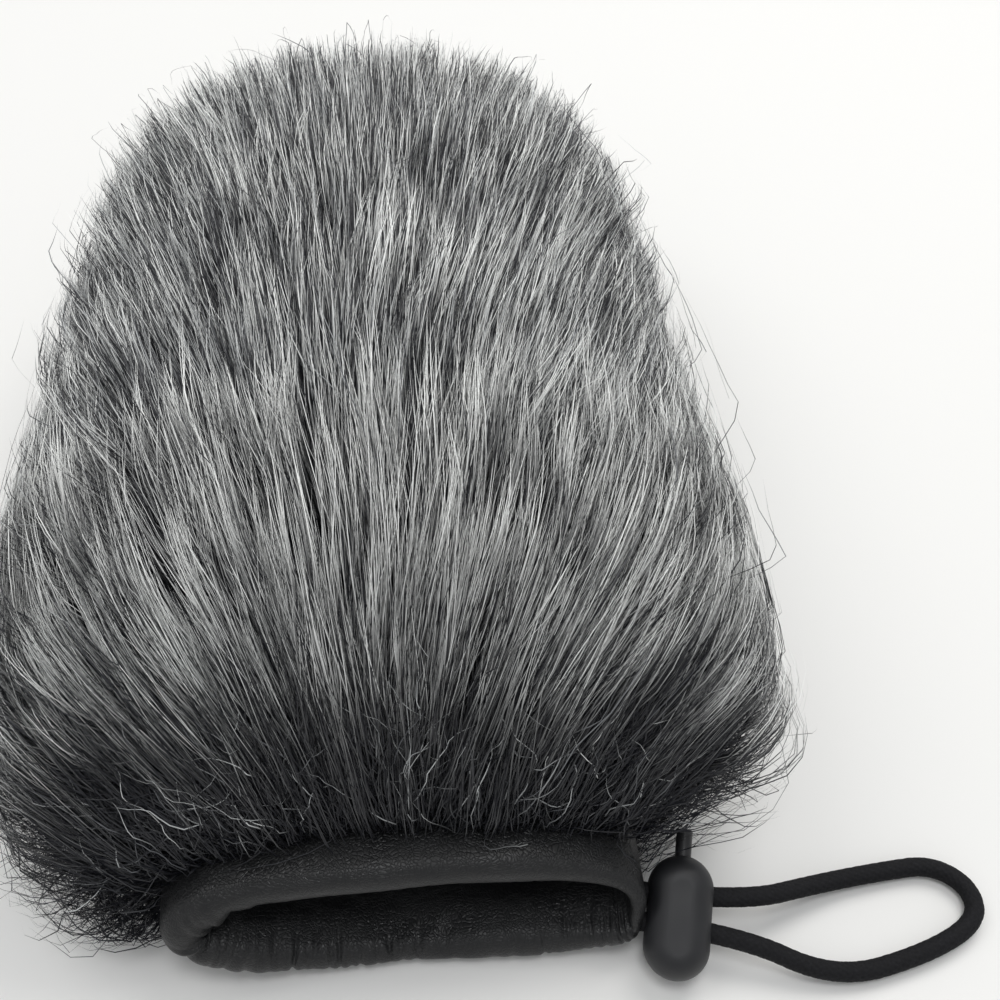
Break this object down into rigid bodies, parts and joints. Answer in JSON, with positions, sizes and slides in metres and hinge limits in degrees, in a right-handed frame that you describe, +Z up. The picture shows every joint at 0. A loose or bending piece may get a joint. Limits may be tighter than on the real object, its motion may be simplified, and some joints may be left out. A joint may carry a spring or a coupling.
{
  "type": "furry windscreen",
  "caption": "Long-pile fur sleeve closed at one end, with a gathered drawcord collar, elastic cord loop and sprung cord lock, that shields a microphone from wind.",
  "frame": {"origin": "on the floor, under the middle of the sleeve and collar; the cord loop and its lock are left out of that middle", "axes": "+Z up from the floor the sleeve lies on, +Y from the gathered mouth to the closed end, +X to the side with the cord lock"},
  "size_m": [0.146, 0.1766, 0.0697],
  "materials": {
    "fur": "long matte pile, dark roots and pale grey tips",
    "thread": "matte sewing thread",
    "foam": "open-cell foam, matte",
    "lining": "fine knitted mesh, matte",
    "leatherette": "pebble grain, semi-gloss",
    "elastic_cord": "braided cover, matte",
    "lock_plastic": "soft-touch, fine matte texture",
    "button_plastic": "matte",
    "spring_steel": "bright wire"
  },
  "bodies": {
    "sleeve": {"fur_panel_top": "fur", "fur_panel_bottom": "fur", "panel_seam_thread": "thread", "foam_liner_top": "foam", "foam_liner_bottom": "foam", "inner_lining": "lining", "collar_casing": "leatherette", "casing_stitch": "thread", "cord_in_casing": "elastic_cord", "cord_splice": "thread", "cord_loop": "elastic_cord"},
    "cord_lock": {"lock_body": "lock_plastic", "lock_spring": "spring_steel"},
    "lock_press": {"lock_button": "button_plastic"}
  },
  "joints": [
    {"name": "lock_slide", "type": "slide", "parent": "sleeve", "child": "cord_lock", "axis": [0.9744, -0.225, 0], "range_m": [0, 0.025], "deforming": ["cord_loop"]},
    {"name": "button_push", "type": "slide", "parent": "cord_lock", "child": "lock_press", "axis": [-0.2086, -0.9034, -0.3746], "range_m": [0, 0.0018], "stiffness_N_per_m": 2000, "springref_m": -0.002, "deforming": ["lock_spring"]}
  ]
}
